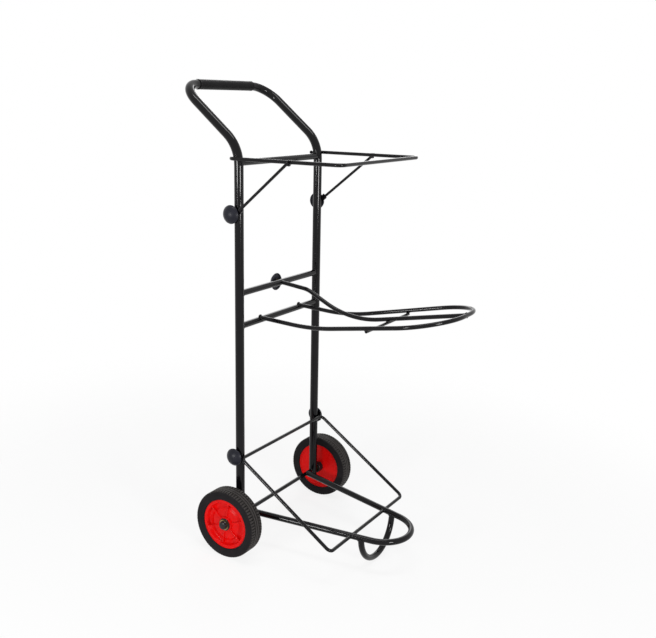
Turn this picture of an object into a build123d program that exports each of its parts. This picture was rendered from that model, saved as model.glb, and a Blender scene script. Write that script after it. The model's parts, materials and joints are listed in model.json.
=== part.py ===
from build123d import *
import os
from math import acos, asin, atan, cos, degrees, radians, sin, sqrt, tan

# Tack trolley: a two-wheeled tube trolley with a shelf frame, a saddle rack and a carrying base.
# Everything is modelled in the frame's own axes: the origin is the middle of the axle, X runs along
# the axle towards the user's left, Y points back towards the handle, and Z runs up the uprights.
# STAND then leans each finished piece back and sets it on the floor.

os.makedirs("parts", exist_ok=True)

# Standing pose
LEAN = 4.0                  # degrees that the uprights lean back when the trolley stands
FIT = 0.05                  # gap left at coped, welded and threaded joints

# Main frame
UPRIGHT_TUBE = 25.4
UPRIGHT_WALL = 1.5
UPRIGHT_SPACING = 396.0     # between the axes of the two uprights
UPRIGHT_FOOT = 15.0         # how far an upright runs past the axle's axis
HANDLE_ABOVE_SHELF = 31.5   # corner of the handle's bend above the shelf's rods
HANDLE_ANGLE = 51.0         # degrees from the uprights' line, towards the back
HANDLE_LENGTH = 252.7       # from the bend's corner to the axis of the top bar
HANDLE_BEND_RADIUS = 105.0
HANDLE_CORNER_RADIUS = 70.0
GRIP_WALL = 1.6
GRIP_END_GAP = 2.0          # grip's ends inside the straight of the top bar
AXLE_FLAT_WIDTH = 15.0      # flat pressed on an upright's outer side, where the wheel's washer seats
AXLE_FLAT_HEIGHT = 125.0

# Crossbars
CROSSBAR_TUBE = 18.0
CROSSBAR_WALL = 1.2
LOWER_CROSSBAR_HEIGHT = 568.0   # above the axle
CROSSBAR_STEP = 93.0        # upper crossbar above the lower one
SHELF_CROSSBAR_STEP = 356.0     # shelf crossbar above the upper one

# Shelf frame and its braces
SHELF_ROD = 10.0
SHELF_RISE = 11.0           # shelf's rods above the shelf crossbar
SHELF_DEPTH = 327.0         # from the uprights' axes to the front rod's axis
SHELF_CORNER_RADIUS = 18.0
SHELF_HOOK_WRAP = 120.0     # degrees that each hook goes round its upright
SHELF_HOOK_GAP = 0.5        # between a hook and its upright
BRACE_ROD = 8.0
BRACE_FRONT = 176.0         # where a brace meets the shelf's side rod, ahead of the uprights
BRACE_BELOW_KNOB = 9.5      # line of a brace below the middle of its knob
BRACE_EYE_THICKNESS = 3.0
BRACE_EYE_RADIUS = 12.0

# Saddle rack
RACK_ROD = 12.0
RACK_HALF_REAR = 100.0      # half the spacing of the side arms at the crossbar
RACK_RISE = 6.5             # axis of the side arms above the lower crossbar's axis
RACK_DROP_ANGLE = 2.8       # degrees that the rear stretch falls
RACK_CLIMB_ANGLE = 10.7     # degrees that the front stretch climbs
RACK_BEND_FRONT = 174.0
RACK_BEND_RADIUS = 500.0
RACK_HALF_WIDE = 150.0      # at the corners of the nose
RACK_WIDE_FRONT = 510.0
RACK_HALF_NOSE = 70.0
RACK_NOSE_DEPTH = 80.0      # tip of the nose ahead of its corners
RACK_NOSE_FILL = 0.96       # share of the nose's slanted runs that their bends take up
SPINE_DROP_ANGLE = 6.3      # degrees that the spine falls as it leaves the upper crossbar
SPINE_DIP_ANGLE = 26.6      # degrees that it falls on its way down to the rack
SPINE_DIP_FRONT = 96.0
SPINE_DIP_RADIUS = 80.0
SPINE_SWEEP_RADIUS = 270.0
RACK_CROSS_ROD = 8.0
RACK_CROSS_FRONT = 358.0
RACK_CROSS_OVERHANG = -8.0  # past the arms' outer sides, here short of them

# Carrying base, its foot and its stay loop
BASE_TUBE = 18.0
BASE_WALL = 1.5
BASE_HALF_REAR = 163.0      # half the spacing of the arms at the axle
BASE_TAPER = 11.2           # degrees that each arm turns in towards the nose
BASE_DROP = 3.55            # degrees that the base falls, from square to the uprights
BASE_NOSE_RADIUS = 90.3
FOOT_FRONT = 347.0          # foot ahead of the axle
STAY_ROD = 10.0
STAY_HEIGHT = 185.0         # stay's top rod above the axle
STAY_FRONT = 318.0          # where the stay's front rod passes through the base
STAY_CORNER_RADIUS = 15.0
LUG_THICKNESS = 3.0
LUG_RADIUS = 14.0

# Hand knobs
KNOB_DIAMETER = 51.0
KNOB_RIM = 2.5              # height of the widest line above the knob's underside
KNOB_HEIGHT = 18.0
KNOB_SEAT_RADIUS = 23.5     # underside, inside the rim's bevel
KNOB_EDGE = 1.5             # flat ring round the hollow of the underside
KNOB_HOLLOW_DEPTH = 3.0
KNOB_BOSS_RADIUS = 9.5
KNOB_BOLT = 6.0
KNOB_BOLT_GRIP = 12.0       # length of the bolt moulded into the knob
KNOB_BOLT_END = 6.5         # where a lower bolt ends, out from its upright's axis
UPPER_KNOB_BEHIND = 13.0    # upper bolts behind the uprights' axes, clear of the tubes
LOWER_KNOB_BEHIND = 7.0     # lower bolts behind the uprights' axes, through the tubes' walls
KNOB_BELOW_SHELF = 148.0    # upper knobs below the shelf's rods
KNOB_TAB_THICKNESS = 4.0    # tapped tabs behind the uprights, flush with their outer sides
KNOB_TAB_RADIUS = 10.0
KNOB_WASHER_RADIUS = 9.0
KNOB_WASHER_THICKNESS = 1.0
KNOB_RUNNING_GAP = 0.3      # between a turning knob and its washer
SPINE_BOLT_DEPTH = 16.0     # bolt length inside the spine's tapped end

# Wheels and axle
WHEEL_DIAMETER = 200.0
WHEEL_TRACK = 505.6         # between the wheels' middle planes
TYRE_WIDTH = 48.0
TYRE_SHOULDER = 4.0
TYRE_BEAD_RADIUS = 3.0
TREAD_GROOVE_WIDTH = 3.0
TREAD_DEPTH = 3.0
TREAD_GROOVE_SPACING = 9.0
TREAD_GROOVES = 3
TREAD_SLOTS = 72
TREAD_SLOT_WIDTH = 4.0
RIM_DIAMETER = 147.0
RIM_WIDTH = 42.0
RIM_BAND = 9.0              # flat ring at the edge of the wheel's outer face
RIM_LIP = 1.5               # rim proud of the wheel's inner face
DISH_DEPTH = 11.0
DISH_WALL = 4.0             # how far the dish's wall slopes in
PLATEAU_DIAMETER = 88.0
PLATEAU_STEP = 5.0          # how far the plateau's edge slopes in
PLATEAU_HEIGHT = 5.0        # above the dish's floor
RIB_COUNT = 6
RIB_ANGLE = 20.0            # degrees from the wheel's level line to its first rib
RIB_THICKNESS = 3.5
RIB_HEIGHT = 8.5            # above the dish's floor
HUB_DIAMETER = 44.0
BUSH_DIAMETER = 33.0
BUSH_FLANGE_DIAMETER = 36.5
BUSH_FLANGE = 2.5
AXLE_DIAMETER = 12.0
AXLE_RUNNING_GAP = 0.06
SIDE_PLAY = 0.3             # end play of a wheel between its washers
INNER_WASHER_DIAMETER = 24.0
OUTER_WASHER_DIAMETER = 30.0
WASHER_THICKNESS = 1.6
CAP_DIAMETER = 26.0
CAP_LENGTH = 9.0
CAP_WALL = 1.5

# Sizes that follow
rack_front = RACK_WIDE_FRONT + RACK_NOSE_DEPTH
upper_crossbar_z = LOWER_CROSSBAR_HEIGHT + CROSSBAR_STEP
shelf_crossbar_z = upper_crossbar_z + SHELF_CROSSBAR_STEP
shelf_z = shelf_crossbar_z + SHELF_RISE
bend_z = shelf_z + HANDLE_ABOVE_SHELF
upper_knob_z = shelf_z - KNOB_BELOW_SHELF
HALF_SPACING = UPRIGHT_SPACING / 2
UPRIGHT_RADIUS = UPRIGHT_TUBE / 2
AXLE_HEIGHT = WHEEL_DIAMETER / 2
AXLE_FLAT = sqrt(UPRIGHT_RADIUS**2 - (AXLE_FLAT_WIDTH / 2) ** 2)    # flat's distance from its tube's axis
SIDE_FACE = HALF_SPACING + UPRIGHT_RADIUS                           # outer side of the uprights
SHELF_HALF = SIDE_FACE + SHELF_ROD / 2 + SHELF_HOOK_GAP
STAY_HALF = SIDE_FACE + STAY_ROD / 2 + FIT
SIDES = {"left": 1, "right": -1}

handle_y = HANDLE_LENGTH * sin(radians(HANDLE_ANGLE))
handle_z = bend_z + HANDLE_LENGTH * cos(radians(HANDLE_ANGLE))
grip_radius = UPRIGHT_RADIUS + GRIP_WALL
rack_bend_z = LOWER_CROSSBAR_HEIGHT + RACK_RISE - RACK_BEND_FRONT * tan(radians(RACK_DROP_ANGLE))


def rack_plane(front):
    """Height of the rack's climbing front stretch at a distance ahead of the uprights."""
    return rack_bend_z + (front - RACK_BEND_FRONT) * tan(radians(RACK_CLIMB_ANGLE))


def base_half(front):
    """Half spacing of the base's arms at a distance ahead of the axle."""
    return BASE_HALF_REAR - front * tan(radians(BASE_TAPER))


def base_drop(front):
    """Height of the base's arms at a distance ahead of the axle."""
    return -front * tan(radians(BASE_DROP))


def standing_y(y, z):
    """Distance back from the axle of a frame point once the trolley leans."""
    return y * cos(radians(LEAN)) + z * sin(radians(LEAN))


front_reach = standing_y(-rack_front, rack_plane(rack_front)) - RACK_ROD / 2
rear_reach = standing_y(handle_y, handle_z) + grip_radius
STAND = Location((0, -(front_reach + rear_reach) / 2, AXLE_HEIGHT), (-LEAN, 0, 0))


def write(piece, name):
    """Stand a finished piece on the floor, label it and write it."""
    standing = STAND * piece
    standing.label = name
    export_step(standing, f"parts/{name}.step")


def sweep_round(path, diameter, mode=Mode.ADD):
    """Sweep a round section along a path, into the piece that is being built."""
    with BuildSketch(path ^ 0) as section:
        Circle(diameter / 2)
    sweep(section.sketch, path=path, mode=mode)


def rod_between(start, end, diameter, mode=Mode.ADD):
    """Add a straight round rod between two points."""
    with BuildLine() as straight:
        Line(start, end)
    sweep_round(straight.line, diameter, mode)


def mirrored(points):
    """An open outline, drawn from the right side to the middle, with its left half added."""
    return points + [(-x, y, z) for x, y, z in reversed(points)]


# Main frame: one tube up, over the handle and down again, with its ends pressed flat for the wheels
with BuildLine() as frame_line:
    FilletPolyline(
        mirrored([
            (-HALF_SPACING, 0, -UPRIGHT_FOOT),
            (-HALF_SPACING, 0, bend_z),
            (-HALF_SPACING, handle_y, handle_z),
        ]),
        radius=[HANDLE_BEND_RADIUS, HANDLE_CORNER_RADIUS, HANDLE_CORNER_RADIUS, HANDLE_BEND_RADIUS],
    )


def press_flats(depth, width):
    """Take the pressed flats off the outer sides of both uprights, down from a round top."""
    for side in SIDES.values():
        with BuildSketch(Plane.YZ.offset(side * (HALF_SPACING + depth))) as press:
            with Locations((0, AXLE_FLAT_HEIGHT - width / 2)):
                Circle(width / 2)
            with Locations((0, -UPRIGHT_FOOT)):
                Rectangle(width, AXLE_FLAT_HEIGHT + UPRIGHT_FOOT - width / 2, align=(Align.CENTER, Align.MIN))
        extrude(press.sketch, amount=side * UPRIGHT_TUBE, mode=Mode.SUBTRACT)


with BuildPart() as frame_core:
    sweep_round(frame_line.line, UPRIGHT_TUBE)
    press_flats(AXLE_FLAT, AXLE_FLAT_WIDTH)

with BuildPart() as frame_bore:
    sweep_round(frame_line.line, UPRIGHT_TUBE - 2 * UPRIGHT_WALL)
    press_flats(AXLE_FLAT - UPRIGHT_WALL, AXLE_FLAT_WIDTH)

with BuildPart() as main_frame:
    add(frame_core.part)
    add(frame_bore.part, mode=Mode.SUBTRACT)
    rod_between((-SIDE_FACE, 0, 0), (SIDE_FACE, 0, 0), AXLE_DIAMETER + 2 * FIT, Mode.SUBTRACT)
    for side in SIDES.values():
        rod_between((side * HALF_SPACING, LOWER_KNOB_BEHIND, STAY_HEIGHT),
                    (side * SIDE_FACE, LOWER_KNOB_BEHIND, STAY_HEIGHT), KNOB_BOLT + 2 * FIT, Mode.SUBTRACT)
write(main_frame.part, "main_frame")

# Tabs: tapped plates on the uprights' rear flanks, for the upper knobs
for name, side in SIDES.items():
    with BuildPart() as knob_tab:
        with BuildSketch(Plane.YZ.offset(side * SIDE_FACE)):
            with Locations((UPPER_KNOB_BEHIND, upper_knob_z)):
                Circle(KNOB_TAB_RADIUS)
                Rectangle(UPPER_KNOB_BEHIND / 2, 2 * KNOB_TAB_RADIUS, align=(Align.MAX, Align.CENTER))
            with Locations((0, upper_knob_z)):
                Rectangle(UPPER_KNOB_BEHIND, 4 * KNOB_TAB_RADIUS, mode=Mode.SUBTRACT)
            with Locations((UPPER_KNOB_BEHIND, upper_knob_z)):
                Circle(KNOB_BOLT / 2 + FIT, mode=Mode.SUBTRACT)
        extrude(amount=-side * KNOB_TAB_THICKNESS)
        sweep_round(frame_line.line, UPRIGHT_TUBE + 2 * FIT, Mode.SUBTRACT)
    write(knob_tab.part, f"{name}_knob_tab")

# Handle grip: a sleeve over the straight of the top bar
grip_half = HALF_SPACING - HANDLE_CORNER_RADIUS - GRIP_END_GAP
with BuildPart() as handle_grip:
    rod_between((-grip_half, handle_y, handle_z), (grip_half, handle_y, handle_z), 2 * grip_radius)
    rod_between((-grip_half, handle_y, handle_z), (grip_half, handle_y, handle_z), UPRIGHT_TUBE + 2 * FIT,
                Mode.SUBTRACT)
write(handle_grip.part, "handle_grip")

# Spine of the saddle rack: from the upper crossbar down in an S to the nose
spine_start = CROSSBAR_TUBE / 2
spine_leave = upper_crossbar_z + spine_start * tan(radians(SPINE_DROP_ANGLE))
spine_dip_z = spine_leave - SPINE_DIP_FRONT * tan(radians(SPINE_DROP_ANGLE))
spine_slopes = tan(radians(SPINE_DIP_ANGLE)) + tan(radians(RACK_CLIMB_ANGLE))
spine_low_front = SPINE_DIP_FRONT + (spine_dip_z - rack_plane(SPINE_DIP_FRONT)) / spine_slopes
spine_end = rack_front
with BuildLine() as spine_line:
    FilletPolyline(
        (0, 0, spine_leave),
        (0, -SPINE_DIP_FRONT, spine_dip_z),
        (0, -spine_low_front, rack_plane(spine_low_front)),
        (0, -spine_end, rack_plane(spine_end)),
        radius=[SPINE_DIP_RADIUS, SPINE_SWEEP_RADIUS],
    )

# Side arms and nose of the saddle rack: one rod
rack_half = [
    (-RACK_HALF_REAR, 0, LOWER_CROSSBAR_HEIGHT + RACK_RISE),
    (-RACK_HALF_REAR, -RACK_BEND_FRONT, rack_bend_z),
    (-RACK_HALF_WIDE, -RACK_WIDE_FRONT, rack_plane(RACK_WIDE_FRONT)),
    (-RACK_HALF_NOSE, -rack_front, rack_plane(rack_front)),
]
nose_slant = Vector(*rack_half[3]) - Vector(*rack_half[2])
wide_turn = radians(nose_slant.get_angle(Vector(*rack_half[2]) - Vector(*rack_half[1])))
tip_turn = radians(nose_slant.get_angle(Vector(1, 0, 0)))
rack_nose_radius = RACK_NOSE_FILL * nose_slant.length / (tan(wide_turn / 2) + tan(tip_turn / 2))
with BuildLine() as rack_line:
    FilletPolyline(
        mirrored(rack_half), radius=[RACK_BEND_RADIUS] + [rack_nose_radius] * 4 + [RACK_BEND_RADIUS]
    )

# Crossbars: tubes coped to the uprights
crossbar_heights = {
    "shelf_crossbar": shelf_crossbar_z,
    "upper_crossbar": upper_crossbar_z,
    "lower_crossbar": LOWER_CROSSBAR_HEIGHT,
}
for name, height in crossbar_heights.items():
    with BuildPart() as crossbar:
        left_end = (HALF_SPACING, 0, height)
        right_end = (-HALF_SPACING, 0, height)
        rod_between(right_end, left_end, CROSSBAR_TUBE)
        rod_between(right_end, left_end, CROSSBAR_TUBE - 2 * CROSSBAR_WALL, Mode.SUBTRACT)
        sweep_round(frame_line.line, UPRIGHT_TUBE + 2 * FIT, Mode.SUBTRACT)
        if name == "upper_crossbar":
            rod_between((0, -CROSSBAR_TUBE, height), (0, CROSSBAR_TUBE, height), KNOB_BOLT + 2 * FIT, Mode.SUBTRACT)
    write(crossbar.part, name)


def cope_to_crossbar(height):
    """Cut the piece being built to the outside of a crossbar."""
    rod_between((-HALF_SPACING, 0, height), (HALF_SPACING, 0, height), CROSSBAR_TUBE + 2 * FIT, Mode.SUBTRACT)


with BuildPart() as rack_loop:
    sweep_round(rack_line.line, RACK_ROD)
    cope_to_crossbar(LOWER_CROSSBAR_HEIGHT)
    with BuildSketch(Plane.XZ):
        with Locations((0, LOWER_CROSSBAR_HEIGHT)):
            Rectangle(2 * HALF_SPACING, 2 * CROSSBAR_TUBE + 2 * RACK_RISE)
    extrude(amount=-CROSSBAR_TUBE, mode=Mode.SUBTRACT)
write(rack_loop.part, "saddle_rack_loop")

with BuildPart() as rack_spine:
    sweep_round(spine_line.line, RACK_ROD)
    cope_to_crossbar(upper_crossbar_z)
    with BuildSketch(Plane.XZ):
        with Locations((0, upper_crossbar_z)):
            Rectangle(2 * CROSSBAR_TUBE, 2 * CROSSBAR_TUBE)
    extrude(amount=-CROSSBAR_TUBE, mode=Mode.SUBTRACT)
    bolt_end = -CROSSBAR_TUBE / 2 - SPINE_BOLT_DEPTH
    rod_between((0, 0, upper_crossbar_z), (0, bolt_end - FIT, upper_crossbar_z), KNOB_BOLT + 2 * FIT,
                Mode.SUBTRACT)
    nose_end = (RACK_HALF_NOSE, -rack_front, rack_plane(rack_front))
    rod_between((-nose_end[0], nose_end[1], nose_end[2]), nose_end, RACK_ROD + 2 * FIT, Mode.SUBTRACT)
write(rack_spine.part, "saddle_rack_spine")

# Cross rod under the rack, across its three rods
cross_drop = (RACK_ROD + RACK_CROSS_ROD) / 2 + FIT
climb = radians(RACK_CLIMB_ANGLE)
cross_y = -RACK_CROSS_FRONT - cross_drop * sin(climb)
cross_z = rack_plane(RACK_CROSS_FRONT) - cross_drop * cos(climb)
rack_spread = (RACK_HALF_WIDE - RACK_HALF_REAR) / (RACK_WIDE_FRONT - RACK_BEND_FRONT)
cross_half = RACK_HALF_REAR + (RACK_CROSS_FRONT - RACK_BEND_FRONT) * rack_spread
cross_half += RACK_ROD / 2 + RACK_CROSS_OVERHANG
with BuildPart() as rack_cross:
    rod_between((-cross_half, cross_y, cross_z), (cross_half, cross_y, cross_z), RACK_CROSS_ROD)
write(rack_cross.part, "saddle_rack_cross_rod")

# Shelf frame: one rod, hooked round the uprights from behind
hook_radius = SHELF_HALF - HALF_SPACING
bend_start = bend_z - HANDLE_BEND_RADIUS * tan(radians(HANDLE_ANGLE) / 2)
hook_tilt = asin(max(shelf_z - bend_start, 0) / HANDLE_BEND_RADIUS)
hook_y = HANDLE_BEND_RADIUS * (1 - cos(hook_tilt))
hook_y += (UPRIGHT_TUBE + SHELF_ROD) / 2 * (1 / cos(hook_tilt) - 1)
with BuildLine() as shelf_line:
    FilletPolyline(
        (-SHELF_HALF, hook_y, shelf_z),
        (-SHELF_HALF, -SHELF_DEPTH, shelf_z),
        (SHELF_HALF, -SHELF_DEPTH, shelf_z),
        (SHELF_HALF, hook_y, shelf_z),
        radius=SHELF_CORNER_RADIUS,
    )
    CenterArc((-HALF_SPACING, hook_y, shelf_z), hook_radius, 180, -SHELF_HOOK_WRAP)
    CenterArc((HALF_SPACING, hook_y, shelf_z), hook_radius, 0, SHELF_HOOK_WRAP)

with BuildPart() as shelf_frame:
    sweep_round(shelf_line.wire(), SHELF_ROD)
write(shelf_frame.part, "shelf_frame")

# Braces: rods from the outer sides of the shelf's rods down to a flat eye under each upper knob
eye_gap = KNOB_DIAMETER / 2 + BRACE_ROD / 2
brace_low = upper_knob_z - BRACE_BELOW_KNOB
brace_rise = shelf_z - brace_low
brace_run = BRACE_FRONT + UPPER_KNOB_BEHIND
brace_length = sqrt(brace_rise**2 + brace_run**2)
brace_angle = degrees(atan(brace_rise / brace_run))
knob_along = BRACE_BELOW_KNOB * brace_rise / brace_length
knob_off = BRACE_BELOW_KNOB * brace_run / brace_length
brace_start = knob_along + sqrt(eye_gap**2 - knob_off**2)
brace_foot_x = SIDE_FACE + FIT + BRACE_ROD / 2
brace_top_x = SHELF_HALF + (SHELF_ROD + BRACE_ROD) / 2 + FIT
for name, side in SIDES.items():
    eye_face = Plane.YZ.offset(side * (SIDE_FACE + FIT))
    with BuildPart() as brace:
        share = brace_start / brace_length
        rod_between(
            (side * brace_foot_x, UPPER_KNOB_BEHIND - brace_run * share, brace_low + brace_rise * share),
            (side * brace_top_x, -BRACE_FRONT, shelf_z),
            BRACE_ROD,
        )
        with BuildSketch(eye_face):
            with Locations((UPPER_KNOB_BEHIND, upper_knob_z)):
                Circle(BRACE_EYE_RADIUS)
            with Locations(Location((UPPER_KNOB_BEHIND, brace_low), 180 - brace_angle)):
                Rectangle(brace_start + BRACE_ROD, 2 * BRACE_ROD, align=(Align.MIN, Align.CENTER))
            with Locations((UPPER_KNOB_BEHIND, upper_knob_z)):
                Circle(KNOB_BOLT / 2 + FIT, mode=Mode.SUBTRACT)
        extrude(amount=side * BRACE_EYE_THICKNESS)
        rod_between((side * SHELF_HALF, 0, shelf_z), (side * SHELF_HALF, -SHELF_DEPTH, shelf_z),
                    SHELF_ROD + 2 * FIT, Mode.SUBTRACT)
    write(brace.part.solids().sort_by(SortBy.VOLUME)[-1], f"{name}_brace")

# Stay loop: one rod in front of the uprights, down to the base and through its arms
stay_y = -(UPRIGHT_RADIUS + STAY_ROD / 2 + FIT)
stay_front_z = base_drop(STAY_FRONT)
with BuildLine() as stay_line:
    FilletPolyline(
        (STAY_HALF, stay_y, STAY_HEIGHT),
        (STAY_HALF, -STAY_FRONT, stay_front_z),
        (-STAY_HALF, -STAY_FRONT, stay_front_z),
        (-STAY_HALF, stay_y, STAY_HEIGHT),
        radius=STAY_CORNER_RADIUS,
        close=True,
    )

with BuildPart() as stay_loop:
    sweep_round(stay_line.line, STAY_ROD)
write(stay_loop.part, "stay_loop")

# Lugs: plates on the stay's top corners that the lower knobs clamp to the uprights
for name, side in SIDES.items():
    with BuildPart() as lug:
        with BuildSketch(Plane.YZ.offset(side * (SIDE_FACE + FIT))):
            with Locations((LOWER_KNOB_BEHIND, STAY_HEIGHT)):
                Circle(LUG_RADIUS)
                Rectangle(LOWER_KNOB_BEHIND - stay_y, 2 * LUG_RADIUS, align=(Align.MAX, Align.CENTER))
            with Locations((LOWER_KNOB_BEHIND, STAY_HEIGHT)):
                Circle(KNOB_BOLT / 2 + FIT, mode=Mode.SUBTRACT)
        extrude(amount=side * LUG_THICKNESS)
        sweep_round(stay_line.line, STAY_ROD + 2 * FIT, Mode.SUBTRACT)
    write(lug.part.solids().sort_by(SortBy.VOLUME)[-1], f"{name}_stay_lug")

# Carrying base: a tapering U of tube, coped to the axle, with holes for the stay's front rod
base_plane = Plane.XY.rotated((BASE_DROP, 0, 0))
nose_x = BASE_NOSE_RADIUS * cos(radians(BASE_TAPER))
nose_forward = (BASE_HALF_REAR - nose_x) / tan(radians(BASE_TAPER))
nose_tip = nose_forward + BASE_NOSE_RADIUS * (1 - sin(radians(BASE_TAPER)))
with BuildLine(base_plane) as base_line:
    Line((-BASE_HALF_REAR, 0), (-nose_x, -nose_forward))
    ThreePointArc((-nose_x, -nose_forward), (0, -nose_tip), (nose_x, -nose_forward))
    Line((nose_x, -nose_forward), (BASE_HALF_REAR, 0))

with BuildPart() as base_core:
    sweep_round(base_line.line, BASE_TUBE)

with BuildPart() as base_frame:
    add(base_core.part)
    sweep_round(base_line.line, BASE_TUBE - 2 * BASE_WALL, Mode.SUBTRACT)
    rod_between((-SIDE_FACE, 0, 0), (SIDE_FACE, 0, 0), AXLE_DIAMETER + 2 * FIT, Mode.SUBTRACT)
    rod_between((-STAY_HALF, -STAY_FRONT, stay_front_z), (STAY_HALF, -STAY_FRONT, stay_front_z),
                STAY_ROD + 2 * FIT, Mode.SUBTRACT)
write(base_frame.part, "base_frame")

# Foot: a round loop of the same tube, from arm to arm and down to the floor
foot_half = base_half(FOOT_FRONT)
foot_top = base_drop(FOOT_FRONT)
foot_low = (BASE_TUBE / 2 - AXLE_HEIGHT - FOOT_FRONT * sin(radians(LEAN))) / cos(radians(LEAN))
with BuildLine() as foot_line:
    ThreePointArc(
        (-foot_half, -FOOT_FRONT, foot_top), (0, -FOOT_FRONT, foot_low), (foot_half, -FOOT_FRONT, foot_top)
    )

with BuildPart() as foot_loop:
    sweep_round(foot_line.line, BASE_TUBE)
    sweep_round(foot_line.line, BASE_TUBE - 2 * BASE_WALL, Mode.SUBTRACT)
    sweep_round(base_line.line, BASE_TUBE + 2 * FIT, Mode.SUBTRACT)
write(foot_loop.part.solids().sort_by(SortBy.VOLUME)[-1], "foot_loop")

# Hand knobs: a domed head, its bolt and the washer under it, along an axis that leaves the frame
knob_places = {}
for name, side in SIDES.items():
    upper_x = SIDE_FACE + FIT + BRACE_EYE_THICKNESS
    upper_seat = Plane((side * upper_x, UPPER_KNOB_BEHIND, upper_knob_z), z_dir=(side, 0, 0))
    knob_places[f"{name}_upper"] = (upper_seat, SIDE_FACE - KNOB_TAB_THICKNESS - upper_x)
    lower_x = SIDE_FACE + FIT + LUG_THICKNESS
    lower_seat = Plane((side * lower_x, LOWER_KNOB_BEHIND, STAY_HEIGHT), z_dir=(side, 0, 0))
    knob_places[f"{name}_lower"] = (lower_seat, HALF_SPACING + KNOB_BOLT_END - lower_x)
middle_seat = Plane((0, CROSSBAR_TUBE / 2 + FIT, upper_crossbar_z), z_dir=(0, 1, 0))
knob_places["middle"] = (middle_seat, -(CROSSBAR_TUBE + FIT + SPINE_BOLT_DEPTH))
knob_seat = KNOB_WASHER_THICKNESS + KNOB_RUNNING_GAP
knob_radius = KNOB_DIAMETER / 2
dome_rise = KNOB_HEIGHT - KNOB_RIM
dome_radius = (knob_radius**2 + dome_rise**2) / (2 * dome_rise)
dome_middle = (radians(90) + acos(knob_radius / dome_radius)) / 2
for name, (seat, bolt_end) in knob_places.items():
    profile = Plane(seat.origin, x_dir=seat.x_dir, z_dir=-seat.y_dir)
    turn = Axis(seat.origin, seat.z_dir)
    with BuildPart() as knob:
        with BuildSketch(profile) as knob_half:
            with BuildLine():
                under = Line((0, knob_seat), (KNOB_SEAT_RADIUS, knob_seat))
                rim = Line(under @ 1, (knob_radius, knob_seat + KNOB_RIM))
                dome = ThreePointArc(
                    rim @ 1,
                    (dome_radius * cos(dome_middle),
                     knob_seat + KNOB_HEIGHT - dome_radius * (1 - sin(dome_middle))),
                    (0, knob_seat + KNOB_HEIGHT),
                )
                Line(dome @ 1, under @ 0)
            make_face()
            with Locations((KNOB_BOSS_RADIUS, knob_seat)):
                Rectangle(KNOB_SEAT_RADIUS - KNOB_EDGE - KNOB_BOSS_RADIUS, KNOB_HOLLOW_DEPTH,
                          align=Align.MIN, mode=Mode.SUBTRACT)
        revolve(axis=turn)
        with BuildSketch(seat):
            Circle(KNOB_BOLT / 2)
        extrude(amount=knob_seat + KNOB_BOLT_GRIP, mode=Mode.SUBTRACT)
    write(knob.part, f"{name}_knob")

    with BuildPart() as knob_bolt:
        with BuildSketch(seat.offset(bolt_end)):
            Circle(KNOB_BOLT / 2)
        extrude(amount=knob_seat + KNOB_BOLT_GRIP - bolt_end)
    write(knob_bolt.part, f"{name}_knob_bolt")

with BuildPart() as knob_washers:
    for seat, _ in knob_places.values():
        with BuildSketch(seat):
            Circle(KNOB_WASHER_RADIUS)
            Circle(KNOB_BOLT / 2 + FIT, mode=Mode.SUBTRACT)
        extrude(amount=KNOB_WASHER_THICKNESS)
write(knob_washers.part, "knob_washers")

# Axle, with the washers and push-on caps that keep the wheels on it
rim_outer = WHEEL_TRACK / 2 + RIM_WIDTH / 2
inner_washer = HALF_SPACING + AXLE_FLAT + FIT
bush_inner = inner_washer + WASHER_THICKNESS + SIDE_PLAY
bush_outer = rim_outer + BUSH_FLANGE
outer_washer = bush_outer + SIDE_PLAY
cap_seat = outer_washer + WASHER_THICKNESS
axle_end = cap_seat + CAP_LENGTH - CAP_WALL

with BuildPart() as axle:
    rod_between((-axle_end, 0, 0), (axle_end, 0, 0), AXLE_DIAMETER)
    chamfer(axle.edges().filter_by(GeomType.CIRCLE), CAP_WALL / 2)
write(axle.part, "axle")

with BuildPart() as wheel_washers:
    for side in SIDES.values():
        for start, diameter in ((inner_washer, INNER_WASHER_DIAMETER), (outer_washer, OUTER_WASHER_DIAMETER)):
            with BuildSketch(Plane.YZ.offset(side * start)):
                Circle(diameter / 2)
                Circle(AXLE_DIAMETER / 2 + FIT, mode=Mode.SUBTRACT)
            extrude(amount=side * WASHER_THICKNESS)
write(wheel_washers.part, "wheel_washers")

for name, side in SIDES.items():
    with BuildPart() as axle_cap:
        with BuildSketch(Plane.YZ.offset(side * cap_seat)):
            Circle(CAP_DIAMETER / 2)
        extrude(amount=side * CAP_LENGTH)
        fillet(axle_cap.faces().sort_by(Axis.X)[-1 if side > 0 else 0].edges(), CAP_LENGTH / 3)
        rod_between((0, 0, 0), (side * (axle_end + FIT), 0, 0), AXLE_DIAMETER + 2 * FIT, Mode.SUBTRACT)
    write(axle_cap.part, f"{name}_axle_cap")

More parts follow.
